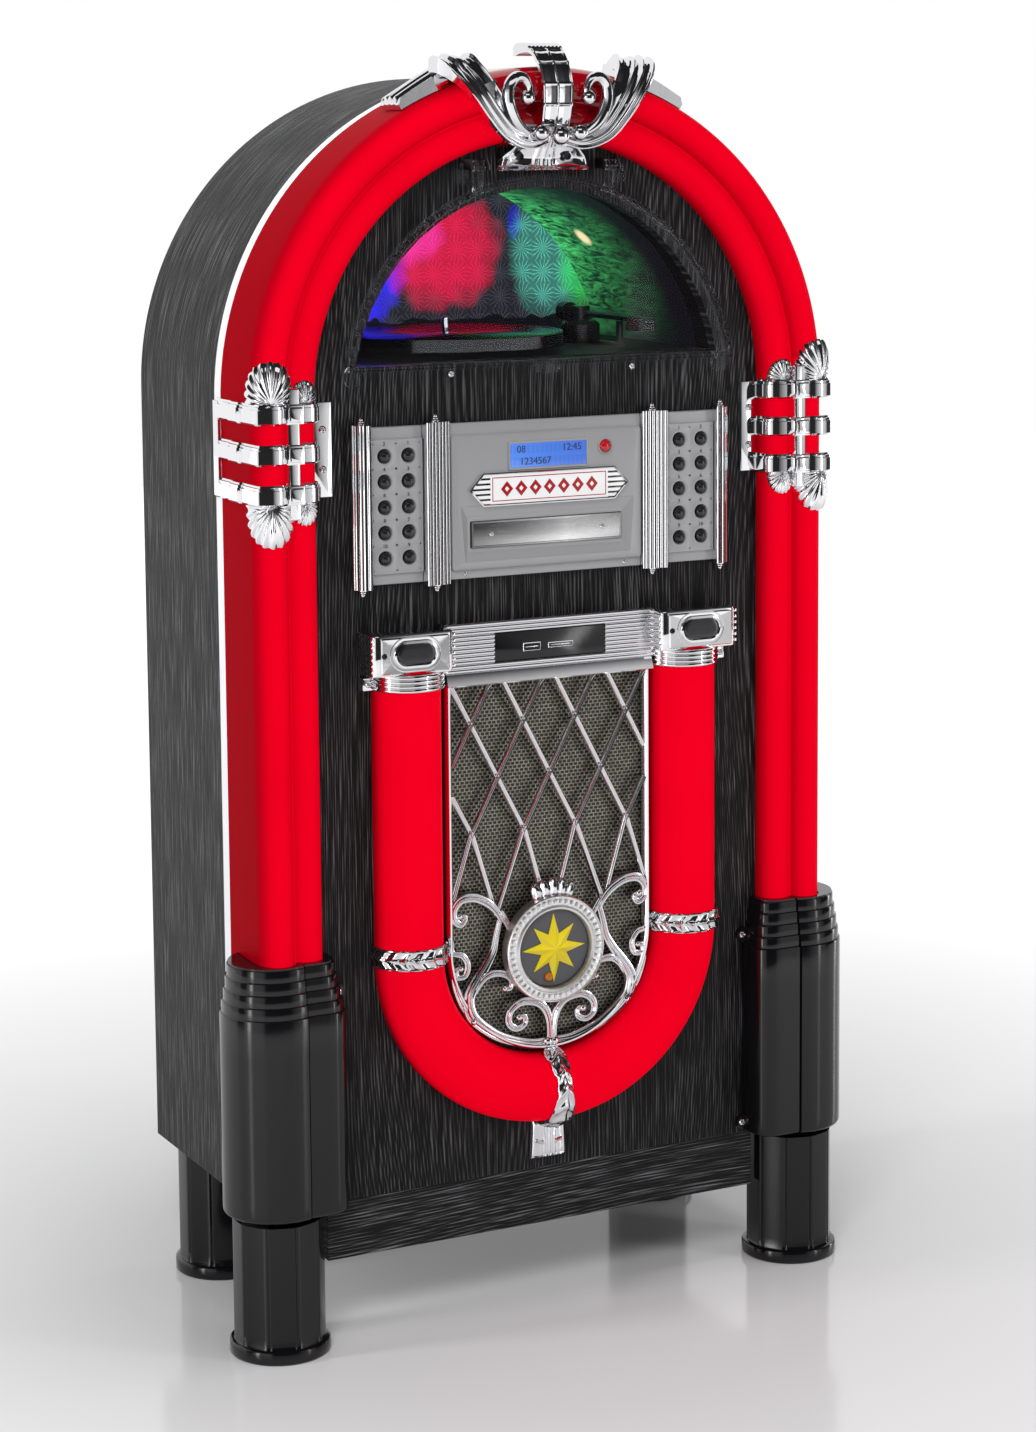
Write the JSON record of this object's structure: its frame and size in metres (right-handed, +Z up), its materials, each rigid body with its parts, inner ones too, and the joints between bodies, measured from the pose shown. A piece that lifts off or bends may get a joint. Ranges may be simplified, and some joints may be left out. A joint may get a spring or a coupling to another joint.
{
  "type": "jukebox",
  "caption": "Arch-top jukebox with a lit red tube, chrome crown, glazed record compartment, key console, disc drawer and a grille inside a U-shaped tube.",
  "frame": {"origin": "on the floor, below the middle of the object's bounding box", "axes": "+Z up, the front faces -Y, +X to the right as seen from the front"},
  "size_m": [0.573, 0.2904, 1.05],
  "materials": {
    "black_wood_foil": "satin, embossed grain",
    "lit_red_plastic": "glossy",
    "dark_red_lens": "glossy",
    "chrome_plating": "mirror",
    "silver_plastic": "satin metallic",
    "black_plastic": "glossy",
    "white_plastic": "satin",
    "smoked_clear_plastic": "clear",
    "display_window": "glossy",
    "grey_steel": "satin",
    "green_board": "matte",
    "black_cone": "matte"
  },
  "bodies": {
    "cabinet": {"arch_tube": "lit_red_plastic", "bottom_board": "black_wood_foil", "bottom_rail": "black_wood_foil", "cabinet_shell": "black_wood_foil", "cd_drive": "grey_steel", "circuit_board": "green_board", "clamp_left": "chrome_plating", "clamp_right": "chrome_plating", "console_center": "silver_plastic", "console_left": "silver_plastic", "console_right": "silver_plastic", "crown": "chrome_plating", "crown_lens": "dark_red_lens", "foot_back_left": "black_plastic", "foot_back_right": "black_plastic", "foot_front_left": "black_plastic", "foot_front_right": "black_plastic", "foot_shroud_left": "black_plastic", "foot_shroud_right": "black_plastic", "front_baffle": "black_wood_foil", "grille": "chrome_plating", "lcd_window": "display_window", "medallion": "chrome_plating", "media_bar": "chrome_plating", "platter_motor": "grey_steel", "rear_cover": "black_cone", "rim_trim": "white_plastic", "speaker": "black_cone", "speaker_mesh": "grey_steel", "tonearm_base": "black_plastic", "turntable_deck": "black_plastic", "turntable_well": "black_cone", "u_tube": "lit_red_plastic"},
    "window_door": {"window_frame": "chrome_plating", "window_pane": "smoked_clear_plastic"},
    "disc_drawer": {"cd_tray": "grey_steel"},
    "platter": {"platter": "black_plastic"},
    "tonearm": {"tonearm": "grey_steel"},
    "switch_power": {"switch_key_power": "black_plastic"},
    "switch_light": {"switch_key_light": "black_plastic"},
    "key_left_01": {"key_left_01": "black_plastic"},
    "key_left_02": {"key_left_02": "black_plastic"},
    "key_left_03": {"key_left_03": "black_plastic"},
    "key_left_04": {"key_left_04": "black_plastic"},
    "key_left_05": {"key_left_05": "black_plastic"},
    "key_left_06": {"key_left_06": "black_plastic"},
    "key_left_07": {"key_left_07": "black_plastic"},
    "key_left_08": {"key_left_08": "black_plastic"},
    "key_left_09": {"key_left_09": "black_plastic"},
    "key_left_10": {"key_left_10": "black_plastic"},
    "key_right_01": {"key_right_01": "black_plastic"},
    "key_right_02": {"key_right_02": "black_plastic"},
    "key_right_03": {"key_right_03": "black_plastic"},
    "key_right_04": {"key_right_04": "black_plastic"},
    "key_right_05": {"key_right_05": "black_plastic"},
    "key_right_06": {"key_right_06": "black_plastic"},
    "key_right_07": {"key_right_07": "black_plastic"},
    "key_right_08": {"key_right_08": "black_plastic"},
    "key_right_09": {"key_right_09": "black_plastic"},
    "key_right_10": {"key_right_10": "black_plastic"}
  },
  "joints": [
    {"name": "window_door_hinge", "type": "hinge", "parent": "cabinet", "child": "window_door", "pos_m": [0, -0.10925, 0.9515], "axis": [-1, 0, 0], "range_deg": [0, 75]},
    {"name": "drawer_slide", "type": "slide", "parent": "cabinet", "child": "disc_drawer", "axis": [0, -1, 0], "range_m": [0, 0.13]},
    {"name": "platter_spin", "type": "hinge", "parent": "cabinet", "child": "platter", "pos_m": [-0.03, 0.01325, 0.8], "axis": [0, 0, -1], "continuous": true},
    {"name": "tonearm_swing", "type": "hinge", "parent": "cabinet", "child": "tonearm", "pos_m": [0.113, 0.04525, 0.82], "axis": [0, 0, -1], "range_deg": [0, 62]},
    {"name": "switch_power_press", "type": "slide", "parent": "cabinet", "child": "switch_power", "axis": [0, 1, 0], "range_m": [0, 0.0015], "stiffness_N_per_m": 400, "springref_m": -0.001},
    {"name": "switch_light_press", "type": "slide", "parent": "cabinet", "child": "switch_light", "axis": [0, 1, 0], "range_m": [0, 0.0015], "stiffness_N_per_m": 400, "springref_m": -0.001},
    {"name": "key_left_01_press", "type": "slide", "parent": "cabinet", "child": "key_left_01", "axis": [0, 1, 0], "range_m": [0, 0.0012], "stiffness_N_per_m": 300, "springref_m": -0.001},
    {"name": "key_left_02_press", "type": "slide", "parent": "cabinet", "child": "key_left_02", "axis": [0, 1, 0], "range_m": [0, 0.0012], "stiffness_N_per_m": 300, "springref_m": -0.001},
    {"name": "key_left_03_press", "type": "slide", "parent": "cabinet", "child": "key_left_03", "axis": [0, 1, 0], "range_m": [0, 0.0012], "stiffness_N_per_m": 300, "springref_m": -0.001},
    {"name": "key_left_04_press", "type": "slide", "parent": "cabinet", "child": "key_left_04", "axis": [0, 1, 0], "range_m": [0, 0.0012], "stiffness_N_per_m": 300, "springref_m": -0.001},
    {"name": "key_left_05_press", "type": "slide", "parent": "cabinet", "child": "key_left_05", "axis": [0, 1, 0], "range_m": [0, 0.0012], "stiffness_N_per_m": 300, "springref_m": -0.001},
    {"name": "key_left_06_press", "type": "slide", "parent": "cabinet", "child": "key_left_06", "axis": [0, 1, 0], "range_m": [0, 0.0012], "stiffness_N_per_m": 300, "springref_m": -0.001},
    {"name": "key_left_07_press", "type": "slide", "parent": "cabinet", "child": "key_left_07", "axis": [0, 1, 0], "range_m": [0, 0.0012], "stiffness_N_per_m": 300, "springref_m": -0.001},
    {"name": "key_left_08_press", "type": "slide", "parent": "cabinet", "child": "key_left_08", "axis": [0, 1, 0], "range_m": [0, 0.0012], "stiffness_N_per_m": 300, "springref_m": -0.001},
    {"name": "key_left_09_press", "type": "slide", "parent": "cabinet", "child": "key_left_09", "axis": [0, 1, 0], "range_m": [0, 0.0012], "stiffness_N_per_m": 300, "springref_m": -0.001},
    {"name": "key_left_10_press", "type": "slide", "parent": "cabinet", "child": "key_left_10", "axis": [0, 1, 0], "range_m": [0, 0.0012], "stiffness_N_per_m": 300, "springref_m": -0.001},
    {"name": "key_right_01_press", "type": "slide", "parent": "cabinet", "child": "key_right_01", "axis": [0, 1, 0], "range_m": [0, 0.0012], "stiffness_N_per_m": 300, "springref_m": -0.001},
    {"name": "key_right_02_press", "type": "slide", "parent": "cabinet", "child": "key_right_02", "axis": [0, 1, 0], "range_m": [0, 0.0012], "stiffness_N_per_m": 300, "springref_m": -0.001},
    {"name": "key_right_03_press", "type": "slide", "parent": "cabinet", "child": "key_right_03", "axis": [0, 1, 0], "range_m": [0, 0.0012], "stiffness_N_per_m": 300, "springref_m": -0.001},
    {"name": "key_right_04_press", "type": "slide", "parent": "cabinet", "child": "key_right_04", "axis": [0, 1, 0], "range_m": [0, 0.0012], "stiffness_N_per_m": 300, "springref_m": -0.001},
    {"name": "key_right_05_press", "type": "slide", "parent": "cabinet", "child": "key_right_05", "axis": [0, 1, 0], "range_m": [0, 0.0012], "stiffness_N_per_m": 300, "springref_m": -0.001},
    {"name": "key_right_06_press", "type": "slide", "parent": "cabinet", "child": "key_right_06", "axis": [0, 1, 0], "range_m": [0, 0.0012], "stiffness_N_per_m": 300, "springref_m": -0.001},
    {"name": "key_right_07_press", "type": "slide", "parent": "cabinet", "child": "key_right_07", "axis": [0, 1, 0], "range_m": [0, 0.0012], "stiffness_N_per_m": 300, "springref_m": -0.001},
    {"name": "key_right_08_press", "type": "slide", "parent": "cabinet", "child": "key_right_08", "axis": [0, 1, 0], "range_m": [0, 0.0012], "stiffness_N_per_m": 300, "springref_m": -0.001},
    {"name": "key_right_09_press", "type": "slide", "parent": "cabinet", "child": "key_right_09", "axis": [0, 1, 0], "range_m": [0, 0.0012], "stiffness_N_per_m": 300, "springref_m": -0.001},
    {"name": "key_right_10_press", "type": "slide", "parent": "cabinet", "child": "key_right_10", "axis": [0, 1, 0], "range_m": [0, 0.0012], "stiffness_N_per_m": 300, "springref_m": -0.001}
  ]
}
